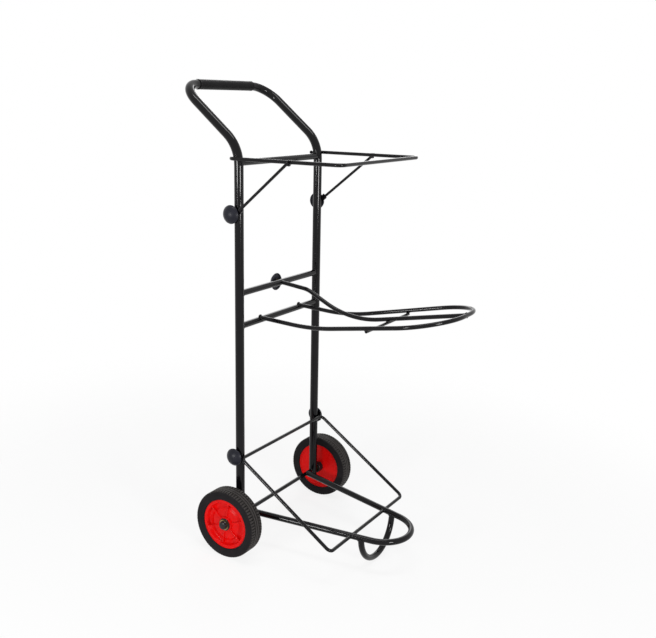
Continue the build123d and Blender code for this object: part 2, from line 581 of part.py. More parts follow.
# Wheels: moulded centre, solid tyre and hub bush
rim_radius = RIM_DIAMETER / 2
hub_radius = HUB_DIAMETER / 2
dish_floor = rim_outer - DISH_DEPTH
rim_inner = rim_outer - RIM_WIDTH
tyre_height = AXLE_HEIGHT - rim_radius
for name, side in SIDES.items():
    outward = Plane.YZ if side > 0 else -Plane.YZ
    with BuildPart() as wheel_centre:
        with BuildSketch(Plane.XZ):
            with BuildLine():
                Polyline(
                    (side * rim_inner, rim_radius),
                    (side * rim_outer, rim_radius),
                    (side * rim_outer, rim_radius - RIM_BAND),
                    (side * dish_floor, rim_radius - RIM_BAND - DISH_WALL),
                    (side * dish_floor, PLATEAU_DIAMETER / 2 + PLATEAU_STEP),
                    (side * (dish_floor + PLATEAU_HEIGHT), PLATEAU_DIAMETER / 2),
                    (side * (dish_floor + PLATEAU_HEIGHT), hub_radius),
                    (side * rim_outer, hub_radius),
                    (side * rim_outer, BUSH_DIAMETER / 2),
                    (side * (rim_inner + RIM_LIP), BUSH_DIAMETER / 2),
                    (side * (rim_inner + RIM_LIP), rim_radius - RIM_BAND / 2),
                    (side * rim_inner, rim_radius - RIM_BAND / 2),
                    close=True,
                )
            make_face()
        revolve(axis=Axis.X)
        with BuildSketch(outward.offset(dish_floor)):
            with PolarLocations(0, RIB_COUNT, start_angle=RIB_ANGLE):
                Rectangle(rim_radius - RIM_BAND / 2, RIB_THICKNESS, align=(Align.MIN, Align.CENTER))
            Circle(BUSH_DIAMETER / 2, mode=Mode.SUBTRACT)
        extrude(amount=RIB_HEIGHT)
    write(wheel_centre.part, f"{name}_wheel_centre")

    with BuildPart() as tyre:
        with BuildSketch(Plane.XZ):
            with Locations((side * WHEEL_TRACK / 2, rim_radius + tyre_height / 2)):
                section = Rectangle(TYRE_WIDTH, tyre_height)
            fillet(section.vertices().group_by(Axis.Z)[-1], TYRE_SHOULDER)
            fillet(section.vertices().group_by(Axis.Z)[0], TYRE_BEAD_RADIUS)
            with Locations((side * WHEEL_TRACK / 2, AXLE_HEIGHT)):
                with GridLocations(TREAD_GROOVE_SPACING, 0, TREAD_GROOVES, 1):
                    Rectangle(TREAD_GROOVE_WIDTH, 2 * TREAD_DEPTH, mode=Mode.SUBTRACT)
        revolve(axis=Axis.X)
        half_pitch = 180 / TREAD_SLOTS
        tread_edge = TREAD_GROOVE_SPACING * (TREAD_GROOVES - 1) / 2
        for row, start in enumerate((WHEEL_TRACK / 2 + tread_edge, WHEEL_TRACK / 2 - TYRE_WIDTH / 2)):
            with BuildSketch(outward.offset(start)):
                with PolarLocations(AXLE_HEIGHT, TREAD_SLOTS, start_angle=row * half_pitch):
                    Rectangle(2 * TREAD_DEPTH, TREAD_SLOT_WIDTH)
            extrude(amount=TYRE_WIDTH / 2 - tread_edge, mode=Mode.SUBTRACT)
    write(tyre.part, f"{name}_tyre")

    with BuildPart() as hub_bush:
        with BuildSketch(outward.offset(bush_inner)):
            Circle(BUSH_DIAMETER / 2)
        extrude(amount=bush_outer - bush_inner)
        with BuildSketch(outward.offset(rim_outer)):
            Circle(BUSH_FLANGE_DIAMETER / 2)
        extrude(amount=BUSH_FLANGE)
        rod_between((0, 0, 0), (side * 2 * bush_outer, 0, 0), AXLE_DIAMETER + 2 * AXLE_RUNNING_GAP, Mode.SUBTRACT)
    write(hub_bush.part, f"{name}_hub_bush")
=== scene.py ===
"""Studio scene of a tack trolley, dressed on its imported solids.

Sizes are in metres. A piece is modelled at the origin, about the X axis where it is turned on a lathe,
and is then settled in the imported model's frame, with its place applied to its mesh.
"""

from __future__ import annotations

import json
import logging
import math
from abc import ABC, abstractmethod
from collections.abc import Callable, Iterator, Sequence
from contextlib import contextmanager
from dataclasses import dataclass
from enum import Enum

import bmesh
import bpy
from mathutils import Matrix, Vector

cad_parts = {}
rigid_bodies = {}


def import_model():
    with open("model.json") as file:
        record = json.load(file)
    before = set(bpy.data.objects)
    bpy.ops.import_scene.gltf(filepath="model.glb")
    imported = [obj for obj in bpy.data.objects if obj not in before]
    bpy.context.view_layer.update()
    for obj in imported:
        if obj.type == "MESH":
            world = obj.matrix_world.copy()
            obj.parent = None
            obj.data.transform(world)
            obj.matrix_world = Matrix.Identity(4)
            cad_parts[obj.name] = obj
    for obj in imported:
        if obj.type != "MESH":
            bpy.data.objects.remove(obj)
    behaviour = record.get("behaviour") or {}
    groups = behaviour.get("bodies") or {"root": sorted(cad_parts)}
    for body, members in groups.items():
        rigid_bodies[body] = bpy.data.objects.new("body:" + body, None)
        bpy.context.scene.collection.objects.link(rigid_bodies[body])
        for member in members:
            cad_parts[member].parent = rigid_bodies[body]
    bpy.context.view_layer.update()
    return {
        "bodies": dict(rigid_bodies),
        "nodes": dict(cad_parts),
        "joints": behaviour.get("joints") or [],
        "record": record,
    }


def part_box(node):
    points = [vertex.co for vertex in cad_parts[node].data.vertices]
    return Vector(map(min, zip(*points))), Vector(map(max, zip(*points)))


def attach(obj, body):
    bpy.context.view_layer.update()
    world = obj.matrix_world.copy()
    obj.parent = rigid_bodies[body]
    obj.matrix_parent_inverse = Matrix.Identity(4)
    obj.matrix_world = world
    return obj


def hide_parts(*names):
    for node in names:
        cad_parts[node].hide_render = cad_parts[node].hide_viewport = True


log = logging.getLogger("tack_trolley")

MM = 0.001
FULL_TURN = 2.0 * math.pi
SAME_PLACE = 1e-6       # points closer than this are one point
ROUNDING_STEPS = 4      # segments of a rounded corner
RIPPLE = 0.16           # share of its thickness by which a weld bead swells and thins
BEAD_CREASE = 60.0      # crease angle of the weld beads, in degrees
WHITE = (1.0, 1.0, 1.0, 1.0)
WHEEL_PLANE = (0.0, 1.0, 1.0)   # keeps what lies square to the axle
FRAME_BODY = "frame"
KNOBS = ("left_upper_knob", "left_lower_knob", "right_upper_knob", "right_lower_knob", "middle_knob")

# Numbers of the Mix node's colour sockets
MIX_LOW = 6
MIX_HIGH = 7
MIX_RESULT = 2

# Directions in the trolley's own axes
ACROSS = Vector((1.0, 0.0, 0.0))
BACK = Vector((0.0, 1.0, 0.0))
UP = Vector((0.0, 0.0, 1.0))

Colour = tuple[float, float, float]
Test = Callable[[Vector], bool]
Piece = bpy.types.Object
Node = bpy.types.Node
Socket = bpy.types.NodeSocket
Feeds = dict[str | int, object]


class Side(Enum):
    """The user's left and right, with the sign of X on that side."""

    LEFT = 1
    RIGHT = -1

    @property
    def word(self) -> str:
        """The side's name, as the nodes spell it."""
        return self.name.lower()

    @property
    def outwards(self) -> Vector:
        """The direction that leaves the trolley on this side."""
        return Vector((self.value, 0.0, 0.0))


class Slot(Enum):
    """The record's material slots."""

    POWDER_COAT = "black_powder_coat"
    SLEEVE = "grip_sleeve"
    KNOB = "knob_plastic"
    RED = "red_plastic"
    RUBBER = "tyre_rubber"
    HUB = "hub_plastic"
    ZINC = "zinc_steel"


@dataclass(frozen=True)
class TrolleyAxes:
    """The trolley's own axes: X along the axle, Y back to the handle, Z up the leaning uprights."""

    axle: Vector
    lean: float

    @classmethod
    def from_joints(cls, joints: Sequence[dict]) -> TrolleyAxes:
        """Find the axle between the wheels' joints and the lean in the middle knob's joint.

        Args:
            joints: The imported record's joints.

        Returns:
            The axes that the pieces are settled in.
        """
        spins = [Vector(joint["pos_m"]) for joint in joints if joint["name"].endswith("_wheel_spin")]
        back = next(Vector(joint["axis"]) for joint in joints if joint["name"] == "middle_knob_turn")
        return cls(axle=sum(spins, Vector()) / len(spins), lean=math.atan2(-back.z, back.y))

    def matrix(self) -> Matrix:
        """The matrix from the trolley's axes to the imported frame."""
        return Matrix.Translation(self.axle) @ Matrix.Rotation(-self.lean, 4, "X")

    def point(self, place: Vector) -> Vector:
        """A point of the trolley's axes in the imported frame."""
        return self.matrix() @ place

    def direction(self, way: Vector) -> Vector:
        """A direction of the trolley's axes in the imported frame, at length 1."""
        return (self.matrix().to_3x3() @ way).normalized()


# Modelling by hand


def pick(*objs: Piece) -> None:
    """Select only these objects and make the first one active.

    Args:
        objs: The objects, or none to leave nothing selected.
    """
    if bpy.context.mode != "OBJECT":
        bpy.ops.object.mode_set(mode="OBJECT")
    bpy.ops.object.select_all(action="DESELECT")
    for obj in objs:
        obj.select_set(True)
    if objs:
        bpy.context.view_layer.objects.active = objs[0]


@contextmanager
def edit_mode(obj: Piece) -> Iterator[None]:
    """Open one object in edit mode with all of it selected, and close it again.

    Args:
        obj: The object to open.

    Yields:
        Nothing, while the object is open.
    """
    pick(obj)
    bpy.ops.object.mode_set(mode="EDIT")
    bpy.ops.mesh.select_all(action="SELECT")
    yield
    bpy.ops.object.mode_set(mode="OBJECT")


def choose_vertices(obj: Piece, test: Test) -> None:
    """Select vertices by their place, in edit mode.

    Args:
        obj: The open object.
        test: Whether a vertex at a place is chosen.
    """
    mesh = bmesh.from_edit_mesh(obj.data)
    for edge in mesh.edges:
        edge.select = False
    for vertex in mesh.verts:
        vertex.select = test(vertex.co)
    bmesh.update_edit_mesh(obj.data)


def choose_faces(obj: Piece, test: Test) -> None:
    """Select faces by their middle, in edit mode.

    Args:
        obj: The open object.
        test: Whether a face with its middle at a place is chosen.
    """
    bpy.ops.mesh.select_all(action="DESELECT")
    mesh = bmesh.from_edit_mesh(obj.data)
    for face in mesh.faces:
        face.select_set(test(face.calc_center_median()))
    bmesh.update_edit_mesh(obj.data)


@dataclass(frozen=True)
class Corner:
    """A corner of a turned outline: its place along the axis, its radius, and how far it is rounded."""

    along: float
    radius: float
    rounding: float = 0.0

    @property
    def place(self) -> Vector:
        """The corner's point on the drawing plane."""
        return Vector((self.along, 0.0, self.radius))


def at(place: Vector) -> Test:
    """A test for points that lie at a place."""
    return lambda co: (co - place).length < SAME_PLACE


def close_skin() -> None:
    """Merge doubled vertices and turn the faces outwards, in edit mode."""
    bpy.ops.mesh.select_all(action="SELECT")
    bpy.ops.mesh.remove_doubles(threshold=SAME_PLACE)
    bpy.ops.mesh.normals_make_consistent(inside=False)


def lathe(name: str, outline: Sequence[Corner], steps: int, ring: bool = True) -> Piece:
    """Draw an outline by extruding one vertex, round its corners and spin it about the X axis.

    Args:
        name: The piece's name.
        outline: The outline's corners, in order.
        steps: How many segments the spin has.
        ring: Whether the outline closes on itself, rather than ending on the axis.

    Returns:
        The turned piece, at the origin.
    """
    pick()
    bpy.ops.mesh.primitive_plane_add(size=MM)
    obj = bpy.context.object
    obj.name = name
    with edit_mode(obj):
        bpy.ops.mesh.merge(type="CENTER")
        bpy.ops.transform.translate(value=outline[0].place)
        for start, end in zip(outline, outline[1:]):
            bpy.ops.mesh.extrude_region_move(TRANSFORM_OT_translate={"value": end.place - start.place})
        if ring:
            first, last = at(outline[0].place), at(outline[-1].place)
            choose_vertices(obj, lambda co: first(co) or last(co))
            bpy.ops.mesh.edge_face_add()
        for corner in outline:
            if corner.rounding:
                choose_vertices(obj, at(corner.place))
                bpy.ops.mesh.bevel(offset=corner.rounding, segments=ROUNDING_STEPS, affect="VERTICES")
        bpy.ops.mesh.select_all(action="SELECT")
        bpy.ops.mesh.spin(steps=steps, angle=FULL_TURN, center=(0, 0, 0), axis=(1, 0, 0))
        close_skin()
    return obj


def settle(obj: Piece, place: Matrix, crease: float = 35.0) -> None:
    """Put a piece in its place, apply that to its mesh and shade it smooth.

    Args:
        obj: The piece.
        place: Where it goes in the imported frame.
        crease: The angle, in degrees, past which an edge stays sharp.
    """
    pick(obj)
    obj.matrix_world = place
    bpy.ops.object.transform_apply(location=True, rotation=True, scale=True)
    bpy.ops.object.shade_smooth_by_angle(angle=math.radians(crease))


def copy_of(obj: Piece, name: str) -> Piece:
    """Copy a piece with its own mesh.

    Args:
        obj: The piece.
        name: The copy's name.

    Returns:
        The copy.
    """
    pick(obj)
    bpy.ops.object.duplicate(linked=False)
    twin = bpy.context.object
    twin.name = name
    return twin


def join(objs: Sequence[Piece], name: str) -> Piece:
    """Join objects into one piece.

    Args:
        objs: The objects.
        name: The piece's name.

    Returns:
        The joined piece.
    """
    pick(*objs)
    bpy.ops.object.join()
    joined = bpy.context.object
    joined.name = name
    return joined


def frame_along(origin: Vector, along: Vector, across: Vector) -> Matrix:
    """A place whose X runs along one direction and whose Y is as near as can be to another.

    Args:
        origin: Where its origin is.
        along: The direction of its X.
        across: The direction that its Y leans to.

    Returns:
        The place's matrix.
    """
    x = along.normalized()
    z = x.cross(across).normalized()
    y = z.cross(x)
    turn = Matrix((x, y, z)).transposed().to_4x4()
    turn.translation = origin
    return turn


# Finishes


def rgba(colour: Colour) -> tuple[float, float, float, float]:
    """A colour as a socket takes it."""
    return (*colour, 1.0)


class Shading:
    """Lays out the nodes of one material, world or group."""

    def __init__(self, tree: bpy.types.NodeTree) -> None:
        """Start on a node tree."""
        self.tree = tree

    def feed(self, node: Node, feeds: Feeds) -> None:
        """Link or set some of a node's inputs.

        Args:
            node: The node.
            feeds: A socket or a plain value for each input, by its name or number.
        """
        for key, value in feeds.items():
            if isinstance(value, Socket):
                self.tree.links.new(value, node.inputs[key])
            else:
                node.inputs[key].default_value = value

    def node(self, kind: str, feeds: Feeds | None = None, **settings: object) -> Node:
        """Add a node.

        Args:
            kind: The node's type.
            feeds: What its inputs take.
            settings: Its own settings, by name.

        Returns:
            The new node.
        """
        made = self.tree.nodes.new(kind)
        for key, value in settings.items():
            setattr(made, key, value)
        self.feed(made, feeds or {})
        return made

    def math(self, operation: str, first: object, second: object) -> Socket:
        """The result of an operation on two sockets or numbers."""
        return self.node("ShaderNodeMath", {0: first, 1: second}, operation=operation).outputs[0]

    def vector(self, operation: str, *terms: object) -> Socket:
        """The vector that comes of an operation on sockets or vectors."""
        made = self.node("ShaderNodeVectorMath", dict(enumerate(terms)), operation=operation)
        return made.outputs["Vector"]

    def length(self, vector: Socket) -> Socket:
        """The length of a vector."""
        return self.node("ShaderNodeVectorMath", {0: vector}, operation="LENGTH").outputs["Value"]

    def blend(self, share: Socket, low: object, high: object) -> Socket:
        """The blend of two colours, with a share of the second one."""
        feeds = {"Factor": share, MIX_LOW: low, MIX_HIGH: high}
        return self.node("ShaderNodeMix", feeds, data_type="RGBA").outputs[MIX_RESULT]

    def noise(self, place: Socket, scale: Socket, detail: float, roughness: float = 0.5) -> Socket:
        """The value of a noise at a place."""
        feeds = {"Vector": place, "Scale": scale, "Detail": detail, "Roughness": roughness}
        return self.node("ShaderNodeTexNoise", feeds).outputs["Fac"]

    def spread(
        self,
        value: Socket,
        start: float,
        end: float,
        low: object = 0.0,
        high: object = 1.0,
        soft: bool = True,
    ) -> Socket:
        """Stretch one span of values over another.

        Args:
            value: The value's socket.
            start: Where the span starts.
            end: Where it ends.
            low: What it starts with after the stretch, a socket or a number.
            high: What it ends with.
            soft: Whether the ends of the stretch are eased.

        Returns:
            The stretched value's socket.
        """
        feeds = {"Value": value, "From Min": start, "From Max": end, "To Min": low, "To Max": high}
        easing = "SMOOTHSTEP" if soft else "LINEAR"
        return self.node("ShaderNodeMapRange", feeds, interpolation_type=easing).outputs["Result"]


class GroupKind(Enum):
    """The effects that the finishes share."""

    MOTTLE = "surface_mottle"
    SHEEN = "surface_sheen"
    GRAIN = "surface_grain"


@dataclass
class SharedEffects:
    """Builds the shader groups that every finish places with its own values."""

    noise_low: float = 0.3
    noise_high: float = 0.7
    mottle_detail: float = 4.0
    sheen_detail: float = 6.0
    sheen_breaks: float = 0.62
    grain_detail: float = 2.0
    wave_detail: float = 1.0
    wave_share: float = 0.16

    def __post_init__(self) -> None:
        """Build the three groups once."""
        self.groups = {
            GroupKind.MOTTLE: self._mottle(),
            GroupKind.SHEEN: self._sheen(),
            GroupKind.GRAIN: self._grain(),
        }

    def place(self, shading: Shading, kind: GroupKind, **feeds: object) -> Socket:
        """Place one group in a material and give its output."""
        return shading.node("ShaderNodeGroup", feeds, node_tree=self.groups[kind]).outputs[0]

    @staticmethod
    def _open(kind: GroupKind, output: tuple[str, str], **inputs: str) -> tuple[Shading, Node, Node]:
        """Start a group on Object coordinates and a scale.

        Args:
            kind: Which effect it is.
            output: The name and the kind of its output.
            inputs: The kinds of its other inputs, by name.

        Returns:
            The group's nodes, the node that brings its inputs and the one that takes its output.
        """
        tree = bpy.data.node_groups.new(kind.value, "ShaderNodeTree")
        taken = {"Vector": "Vector", "Scale": "Float", **inputs}
        ends = [("INPUT", *pair) for pair in taken.items()] + [("OUTPUT", *output)]
        for way, name, socket in ends:
            tree.interface.new_socket(name=name, in_out=way, socket_type=f"NodeSocket{socket}")
        shading = Shading(tree)
        return shading, shading.node("NodeGroupInput"), shading.node("NodeGroupOutput")

    def _mottle(self) -> bpy.types.NodeTree:
        """Make a colour that drifts between two shades.

        Returns:
            The group's tree.
        """
        shading, start, end = self._open(GroupKind.MOTTLE, ("Color", "Color"), Dark="Color", Light="Color")
        given = start.outputs
        noise = shading.noise(given["Vector"], given["Scale"], self.mottle_detail)
        share = shading.spread(noise, self.noise_low, self.noise_high)
        shading.feed(end, {"Color": shading.blend(share, given["Dark"], given["Light"])})
        return shading.tree

    def _sheen(self) -> bpy.types.NodeTree:
        """Make a roughness that drifts between two values, with finer breaks in it.

        Returns:
            The group's tree.
        """
        output = ("Roughness", "Float")
        shading, start, end = self._open(GroupKind.SHEEN, output, Smooth="Float", Rough="Float")
        given = start.outputs
        noise = shading.noise(given["Vector"], given["Scale"], self.sheen_detail, self.sheen_breaks)
        drift = shading.spread(
            noise, self.noise_low, self.noise_high, given["Smooth"], given["Rough"], soft=False
        )
        shading.feed(end, {"Roughness": drift})
        return shading.tree

    def _grain(self) -> bpy.types.NodeTree:
        """Make the height of a fine grain on top of a coarser waviness.

        Returns:
            The group's tree.
        """
        shading, start, end = self._open(GroupKind.GRAIN, ("Height", "Float"), Waviness="Float")
        given = start.outputs
        fine = shading.noise(given["Vector"], given["Scale"], self.grain_detail)
        coarse = shading.math("MULTIPLY", given["Scale"], self.wave_share)
        wave = shading.noise(given["Vector"], coarse, self.wave_detail)
        swell = shading.math("MULTIPLY", wave, given["Waviness"])
        shading.feed(end, {"Height": shading.math("ADD", fine, swell)})
        return shading.tree


@dataclass(frozen=True)
class Finish:
    """A finish: two shades, a span of roughness and a grain, each at its own scale."""

    slot: Slot
    dark: Colour
    light: Colour
    smooth: float
    rough: float
    specular: float
    mottle_scale: float = 30.0
    sheen_scale: float = 45.0
    grain_scale: float = 900.0
    grain_depth: float = 0.02 * MM
    waviness: float = 1.0
    metallic: float = 0.0

    def material(self, effects: SharedEffects) -> bpy.types.Material:
        """Build the finish's material.

        Args:
            effects: The shared shader groups.

        Returns:
            The material, on Object coordinates.
        """
        made = bpy.data.materials.new(self.slot.value)
        made.use_nodes = True
        shading = Shading(made.node_tree)
        place = shading.node("ShaderNodeTexCoord").outputs["Object"]
        mottle = effects.place(
            shading, GroupKind.MOTTLE, Vector=place, Scale=self.mottle_scale, Dark=rgba(self.dark),
            Light=rgba(self.light),
        )
        sheen = effects.place(
            shading, GroupKind.SHEEN, Vector=place, Scale=self.sheen_scale, Smooth=self.smooth,
            Rough=self.rough,
        )
        grain = effects.place(
            shading, GroupKind.GRAIN, Vector=place, Scale=self.grain_scale, Waviness=self.waviness
        )
        bump = shading.node("ShaderNodeBump", {"Distance": self.grain_depth, "Height": grain})
        shading.feed(made.node_tree.nodes["Principled BSDF"], {
            "Base Color": self.tint(shading, place, mottle),
            "Roughness": sheen,
            "Normal": bump.outputs["Normal"],
            "Specular IOR Level": self.specular,
            "Metallic": self.metallic,
        })
        return made

    def tint(self, shading: Shading, place: Socket, colour: Socket) -> Socket:
        """Leave the mottled colour as it is; a finish with a pattern changes it here."""
        return colour


@dataclass(frozen=True)
class TyreRubber(Finish):
    """Black rubber whose tread is paler than its sidewalls."""

    axle: Vector = Vector()
    tread_start: float = 96.0 * MM
    tread_full: float = 99.6 * MM
    tread: Colour = (0.050, 0.045, 0.043)

    def tint(self, shading: Shading, place: Socket, colour: Socket) -> Socket:
        """Turn the colour paler towards the tread.

        Args:
            shading: The material's nodes.
            place: The coordinates' socket.
            colour: The mottled colour's socket.

        Returns:
            The colour's socket with the tread in it.
        """
        centred = shading.vector("SUBTRACT", place, self.axle)
        reach = shading.length(shading.vector("MULTIPLY", centred, WHEEL_PLANE))
        band = shading.spread(reach, self.tread_start, self.tread_full)
        return shading.blend(band, colour, rgba(self.tread))


def trolley_finishes(axle: Vector) -> list[Finish]:
    """The trolley's finishes.

    Args:
        axle: The middle of the axle.

    Returns:
        One finish for each of the record's slots.
    """
    return [
        Finish(
            Slot.POWDER_COAT, dark=(0.0020, 0.0017, 0.0023), light=(0.0038, 0.0032, 0.0042), smooth=0.08,
            rough=0.12, specular=0.2, mottle_scale=22.0, grain_scale=300.0, grain_depth=0.0015 * MM,
            waviness=2.0,
        ),
        Finish(
            Slot.SLEEVE, dark=(0.0055, 0.0050, 0.0058), light=(0.0080, 0.0074, 0.0082), smooth=0.40,
            rough=0.5, specular=0.08, grain_scale=1400.0, grain_depth=0.012 * MM,
        ),
        Finish(
            Slot.KNOB, dark=(0.0085, 0.0088, 0.0140), light=(0.0125, 0.0128, 0.0195), smooth=0.34,
            rough=0.42, specular=0.18, grain_scale=1100.0, grain_depth=0.012 * MM,
        ),
        Finish(
            Slot.RED, dark=(0.64, 0.0032, 0.0030), light=(0.71, 0.0046, 0.0040), smooth=0.22,
            rough=0.32, specular=0.1, mottle_scale=16.0, grain_scale=800.0, grain_depth=0.01 * MM,
        ),
        TyreRubber(
            Slot.RUBBER, dark=(0.0065, 0.0056, 0.0065), light=(0.0105, 0.0092, 0.0105), smooth=0.5,
            rough=0.62, specular=0.1, grain_scale=1300.0, grain_depth=0.06 * MM, axle=axle,
        ),
        Finish(
            Slot.HUB, dark=(0.006, 0.006, 0.007), light=(0.010, 0.010, 0.011), smooth=0.2,
            rough=0.3, specular=0.3, grain_scale=1000.0, grain_depth=0.01 * MM,
        ),
        Finish(
            Slot.ZINC, dark=(0.34, 0.24, 0.08), light=(0.46, 0.35, 0.16), smooth=0.22,
            rough=0.34, specular=0.5, mottle_scale=160.0, grain_scale=1500.0, grain_depth=0.02 * MM,
            metallic=1.0,
        ),
    ]


class Workshop:
    """Holds what every sub-assembly needs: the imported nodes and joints, the axes and the materials."""

    def __init__(self, frame: dict) -> None:
        """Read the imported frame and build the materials.
        """
        self.nodes: dict[str, Piece] = frame["nodes"]
        self.joints: dict[str, dict] = {joint["name"]: joint for joint in frame["joints"]}
        self.axes = TrolleyAxes.from_joints(frame["joints"])
        effects = SharedEffects()
        self.materials = {
            finish.slot: finish.material(effects) for finish in trolley_finishes(self.axes.axle)
        }

    def coat(self, obj: Piece, slot: Slot) -> None:
        """Give one object its finish."""
        obj.data.materials.clear()
        obj.data.materials.append(self.materials[slot])

    def dress(self, slot: Slot, *names: str) -> None:
        """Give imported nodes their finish.

        Args:
            slot: Their material slot.
            names: The nodes' names.
        """
        for name in names:
            self.coat(self.nodes[name], slot)
            log.info("%s dressed in %s", name, slot.value)

    def hand_over(self, piece: Piece, body: str, slot: Slot, *replaced: str) -> None:
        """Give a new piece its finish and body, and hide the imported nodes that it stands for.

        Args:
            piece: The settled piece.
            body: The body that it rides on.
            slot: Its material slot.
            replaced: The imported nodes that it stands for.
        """
        self.coat(piece, slot)
        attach(piece, body)
        if replaced:
            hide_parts(*replaced)
        log.info("%s on %s, %d faces", piece.name, body, len(piece.data.polygons))


# Welds


@dataclass(frozen=True)
class WeldRing:
    """A rippled bead round the end of a tube or rod that is welded to another one.

    The points and directions are in the trolley's axes. The branch starts at the root, which lies on the
    host's axis or, where there is an offset, that far beside it.
    """

    root: Vector
    branch: Vector
    host: Vector
    branch_radius: float
    host_radius: float
    bead: float = 2.2 * MM
    offset: float = 0.0
    segments: int = 80
    bead_segments: int = 10
    ripple_pitch: float = 1.1   # in thicknesses of the bead
    least_ripples: int = 6
    drift: float = 0.6          # how far the ripples wander, in radians
    drift_waves: int = 3

    def build(self, axes: TrolleyAxes) -> Piece:
        """Bend a ring to the saddle where the two tubes meet.

        Args:
            axes: The trolley's axes.

        Returns:
            The settled bead.
        """
        pick()
        bpy.ops.mesh.primitive_torus_add(
            major_segments=self.segments, minor_segments=self.bead_segments,
            major_radius=self.branch_radius, minor_radius=self.bead,
        )
        ring = bpy.context.object
        up = self.branch.normalized()
        along = self.host - up * self.host.dot(up)
        slant = self.host.dot(up) / along.length
        round_length = FULL_TURN * self.branch_radius
        ripples = max(self.least_ripples, round(round_length / (self.ripple_pitch * self.bead)))
        for vertex in ring.data.vertices:
            turn = math.atan2(vertex.co.y, vertex.co.x)
            centre = Vector((math.cos(turn), math.sin(turn), 0.0)) * self.branch_radius
            uneven = self.drift * math.sin(self.drift_waves * turn)
            swell = 1.0 + RIPPLE * math.sin(ripples * turn + uneven)
            across = self.offset + centre.y
            rise = math.sqrt(max(self.host_radius**2 - across**2, 0.0))
            saddle = Vector((0.0, 0.0, rise + slant * centre.x))
            vertex.co = centre + (vertex.co - centre) * swell + saddle
        place = frame_along(self.root, along, up.cross(along))
        settle(ring, axes.matrix() @ place, BEAD_CREASE)
        return ring


@dataclass(frozen=True)
class WeldRun:
    """A short straight bead with rounded ends, between two points of the trolley's axes."""

    start: Vector
    end: Vector
    bead: float
    segments: int = 14
    rings: int = 36
    ripple_pitch: float = 1.2   # in thicknesses of the bead
    least_ripples: int = 3
    fullness: float = 0.25      # power by which the ends are filled out
    full_share: float = 0.98    # share of the run that is filled out
    steep: float = 0.9          # rise over length past which a run counts as upright

    @classmethod
    def about(cls, middle: Vector, half: Vector, bead: float) -> WeldRun:
        """A run that reaches half its length each way from its middle."""
        return cls(middle - half, middle + half, bead)

    def build(self, axes: TrolleyAxes) -> Piece:
        """Stretch a ball along the run, fill its ends out and ripple it.

        Args:
            axes: The trolley's axes.

        Returns:
            The settled bead.
        """
        pick()
        bpy.ops.mesh.primitive_uv_sphere_add(
            segments=self.segments, ring_count=self.rings, radius=self.bead
        )
        run = bpy.context.object
        along = self.end - self.start
        ripples = max(self.least_ripples, round(along.length / (self.ripple_pitch * self.bead)))
        for vertex in run.data.vertices:
            share = vertex.co.z / self.bead
            swell = 1.0 + RIPPLE * math.cos(ripples * math.pi * share)
            if abs(share) < self.full_share:
                swell *= (1.0 - share**2) ** -self.fullness
            vertex.co = Vector((share * along.length / 2, vertex.co.x * swell, vertex.co.y * swell))
        across = UP if abs(along.normalized().z) < self.steep else ACROSS
        middle = (self.start + self.end) / 2
        settle(run, axes.matrix() @ frame_along(middle, along, across), BEAD_CREASE)
        return run


Bead = WeldRing | WeldRun


class WeldedAssembly(ABC):
    """A sub-assembly of packed tubes, rods and plates, which need only their coat and their welds."""

    nodes: tuple[str, ...]
    weld_name: str

    @abstractmethod
    def beads(self) -> list[Bead]:
        """The sub-assembly's welds."""

    def build(self, shop: Workshop) -> None:
        """Dress the nodes and make their welds as one piece on the frame.

        Args:
            shop: The nodes, axes and materials.
        """
        shop.dress(Slot.POWDER_COAT, *self.nodes)
        welds = join([bead.build(shop.axes) for bead in self.beads()], self.weld_name)
        shop.hand_over(welds, FRAME_BODY, Slot.POWDER_COAT)


# Sub-assemblies


@dataclass
class TubeFrame(WeldedAssembly):
    """The bent main tube with its crossbars, its axle and the tapped tabs of the upper knobs."""

    nodes: tuple[str, ...] = (
        "main_frame", "shelf_crossbar", "upper_crossbar", "lower_crossbar", "axle", "left_knob_tab",
        "right_knob_tab",
    )
    weld_name: str = "frame_weld_beads"
    half_spacing: float = 198.0 * MM
    tube_radius: float = 12.7 * MM
    crossbar_radius: float = 9.0 * MM
    axle_radius: float = 6.0 * MM
    crossbar_heights: tuple[float, ...] = (568.0 * MM, 661.0 * MM, 1017.0 * MM)
    tab_height: float = 880.0 * MM
    tab_half: float = 9.0 * MM
    tab_out: float = 8.4 * MM
    tab_back: float = 10.0 * MM
    tab_bead: float = 2.0 * MM

    def beads(self) -> list[Bead]:
        """Weld the crossbars, the axle and the tabs to both uprights.

        Returns:
            The beads.
        """
        made: list[Bead] = []
        stubs = [(height, self.crossbar_radius) for height in self.crossbar_heights]
        stubs.append((0.0, self.axle_radius))
        for side in Side:
            upright = side.outwards * self.half_spacing
            for height, radius in stubs:
                made.append(WeldRing(upright + UP * height, -side.outwards, UP, radius, self.tube_radius))
            flank = upright + side.outwards * self.tab_out + BACK * self.tab_back + UP * self.tab_height
            made.append(WeldRun.about(flank, UP * self.tab_half, self.tab_bead))
        return made


